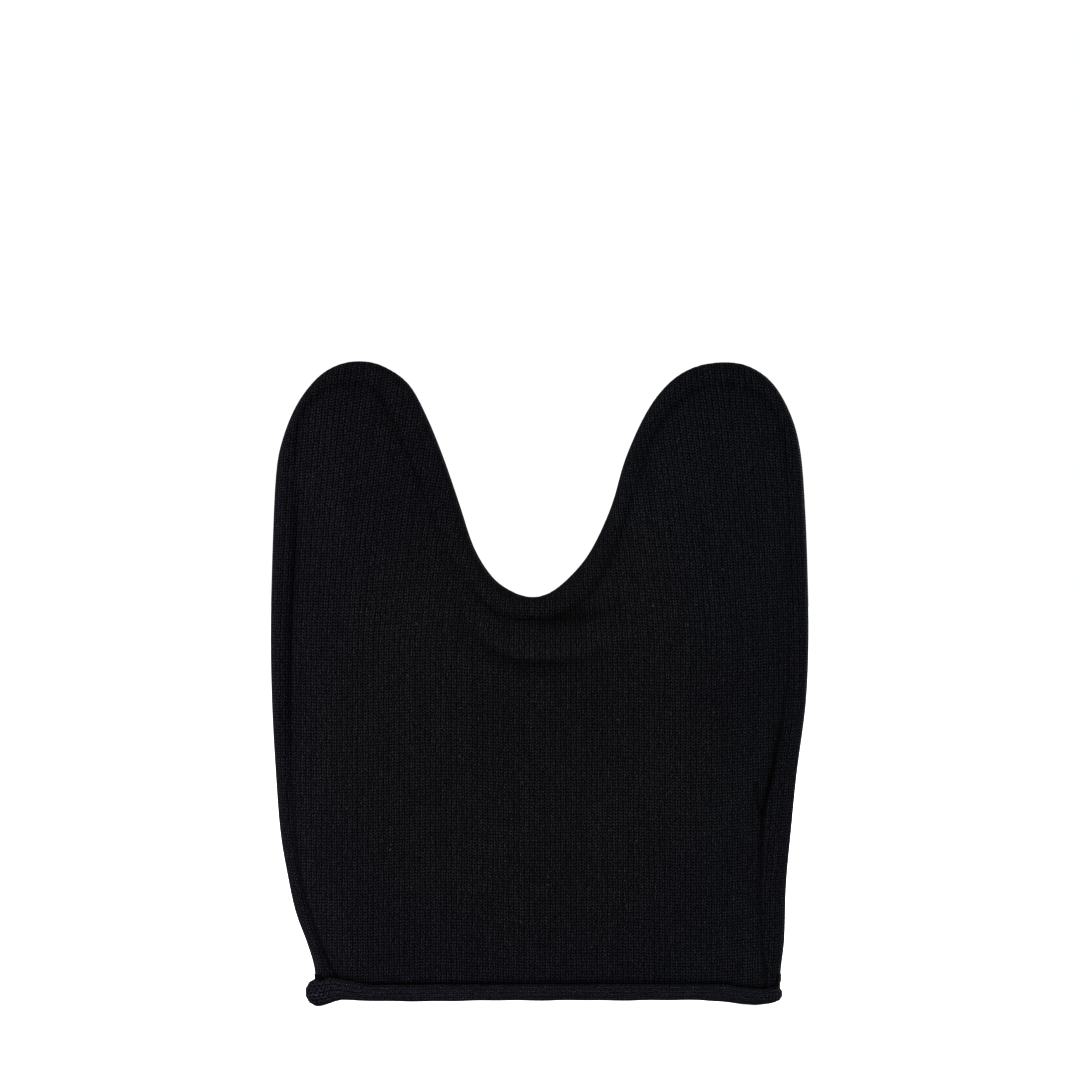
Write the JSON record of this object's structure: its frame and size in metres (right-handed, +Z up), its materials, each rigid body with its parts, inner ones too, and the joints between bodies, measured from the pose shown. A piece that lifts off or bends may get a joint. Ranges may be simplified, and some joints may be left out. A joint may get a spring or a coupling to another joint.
{
  "type": "balaclava",
  "caption": "Knitted balaclava with tall blunt horns, a rolled neck edge and a rolled face opening; the horns flop to the front or back.",
  "frame": {"origin": "middle of the neck opening, at the foot of the hem roll", "axes": "+Z up towards the horns' tips, +Y towards the wearer's face, -Y the back of the head, +X the wearer's right"},
  "size_m": [0.247, 0.0338, 0.296],
  "materials": {
    "knit": "black stockinette knit, matt",
    "rolled_trim": "black rolled knit, matt",
    "thread": "black textured polyester thread",
    "label": "woven satin, blank"
  },
  "bodies": {
    "hood": {"back_panel": "knit", "front_panel": "knit", "left_fold_cloth": "knit", "right_fold_cloth": "knit", "hem_roll": "rolled_trim", "face_roll": "rolled_trim", "left_side_seam_thread": "thread", "right_side_seam_thread": "thread", "crown_seam_thread": "thread", "hem_linking_thread": "thread", "face_linking_thread": "thread", "hem_tacks": "thread", "care_label": "label", "label_stitches": "thread"},
    "left_horn": {"left_horn_back": "knit", "left_horn_front": "knit", "left_horn_seam_thread": "thread"},
    "right_horn": {"right_horn_back": "knit", "right_horn_front": "knit", "right_horn_seam_thread": "thread"}
  },
  "joints": [
    {"name": "left_horn_fold", "type": "hinge", "parent": "hood", "child": "left_horn", "pos_m": [-0.0755, 0, 0.214], "axis": [1, 0, 0], "range_deg": [-90, 90], "stiffness_Nm_per_rad": 0.03, "deforming": ["left_fold_cloth"]},
    {"name": "right_horn_fold", "type": "hinge", "parent": "hood", "child": "right_horn", "pos_m": [0.0755, 0, 0.214], "axis": [1, 0, 0], "range_deg": [-90, 90], "stiffness_Nm_per_rad": 0.03, "deforming": ["right_fold_cloth"]}
  ]
}
